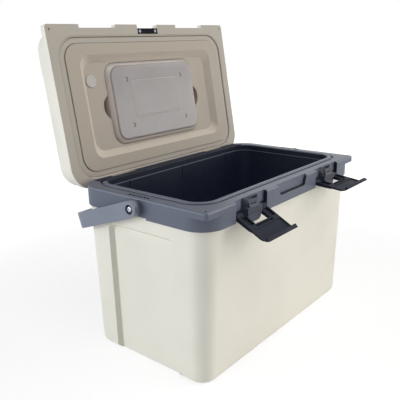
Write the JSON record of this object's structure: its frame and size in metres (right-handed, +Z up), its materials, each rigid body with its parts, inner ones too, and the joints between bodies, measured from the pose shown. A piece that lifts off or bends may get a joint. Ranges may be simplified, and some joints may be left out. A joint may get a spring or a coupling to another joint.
{
  "type": "insulated carrier",
  "caption": "Insulated carrier box with a deep lined cavity, a hinged lid that holds an ice pack, a sealing collar, swing-over lever latches and a bail handle.",
  "frame": {"origin": "centre of the tub's base, on the surface that it stands on", "axes": "+Z up, +X along the long side, -Y towards the latches, +Y towards the lid's hinge"},
  "size_m": [0.458, 0.4019, 0.5036],
  "materials": {
    "shell_cream": "fine matt moulded polypropylene",
    "lid_cream": "fine matt moulded polypropylene",
    "slate": "satin moulded plastic",
    "dark_slate": "satin moulded plastic",
    "liner_navy": "satin moulded plastic",
    "foam": "rigid polyurethane foam, hidden inside the walls",
    "gasket_grey": "soft extruded seal",
    "ice_pack_grey": "translucent blow-moulded bottle, filled with gel",
    "plug_white": "moulded plug",
    "black_plate": "satin moulded plastic",
    "steel": "zinc-plated steel"
  },
  "bodies": {
    "box": {"body_shell": "shell_cream", "body_foam": "foam", "inner_liner": "liner_navy", "collar": "slate", "latch_pin_left": "steel", "latch_pin_right": "steel", "hinge_pin_left": "steel", "hinge_pin_right": "steel", "handle_hub_left": "slate", "handle_hub_right": "slate", "handle_washer_left": "dark_slate", "handle_washer_right": "dark_slate", "handle_screw_left": "steel", "handle_screw_right": "steel"},
    "lid": {"lid_shell": "lid_cream", "lid_liner": "lid_cream", "lid_foam": "foam", "lid_gasket": "gasket_grey", "foam_port_plug": "plug_white", "catch_plate": "black_plate", "catch_plate_screws": "steel"},
    "ice_pack": {"ice_pack": "ice_pack_grey"},
    "handle": {"handle_bail": "slate"},
    "lever_left": {"latch_lever_left": "dark_slate"},
    "lever_right": {"latch_lever_right": "dark_slate"},
    "tab_left": {"release_tab_left": "slate"},
    "tab_right": {"release_tab_right": "slate"}
  },
  "joints": [
    {"name": "lid_hinge", "type": "hinge", "parent": "box", "child": "lid", "pos_m": [0, 0.1238, 0.2569], "axis": [1, 0, 0], "range_deg": [0, 99.4]},
    {"name": "ice_pack_slide", "type": "slide", "parent": "lid", "child": "ice_pack", "axis": [0, -0.9866, 0.1633], "range_m": [0, 0.022]},
    {"name": "handle_swing", "type": "hinge", "parent": "box", "child": "handle", "pos_m": [0, 0, 0.2522], "axis": [1, 0, 0], "range_deg": [0, 12]},
    {"name": "latch_lever_left_swing", "type": "hinge", "parent": "box", "child": "lever_left", "pos_m": [-0.113, -0.1245, 0.2448], "axis": [-1, 0, 0], "range_deg": [0, 118]},
    {"name": "release_tab_left_press", "type": "hinge", "parent": "box", "child": "tab_left", "pos_m": [-0.113, -0.1245, 0.2448], "axis": [-1, 0, 0], "range_deg": [0, 8], "stiffness_Nm_per_rad": 0.2, "springref_deg": -6},
    {"name": "latch_lever_right_swing", "type": "hinge", "parent": "box", "child": "lever_right", "pos_m": [0.113, -0.1245, 0.2448], "axis": [-1, 0, 0], "range_deg": [-21, 97]},
    {"name": "release_tab_right_press", "type": "hinge", "parent": "box", "child": "tab_right", "pos_m": [0.113, -0.1245, 0.2448], "axis": [-1, 0, 0], "range_deg": [0, 8], "stiffness_Nm_per_rad": 0.2, "springref_deg": -6}
  ]
}
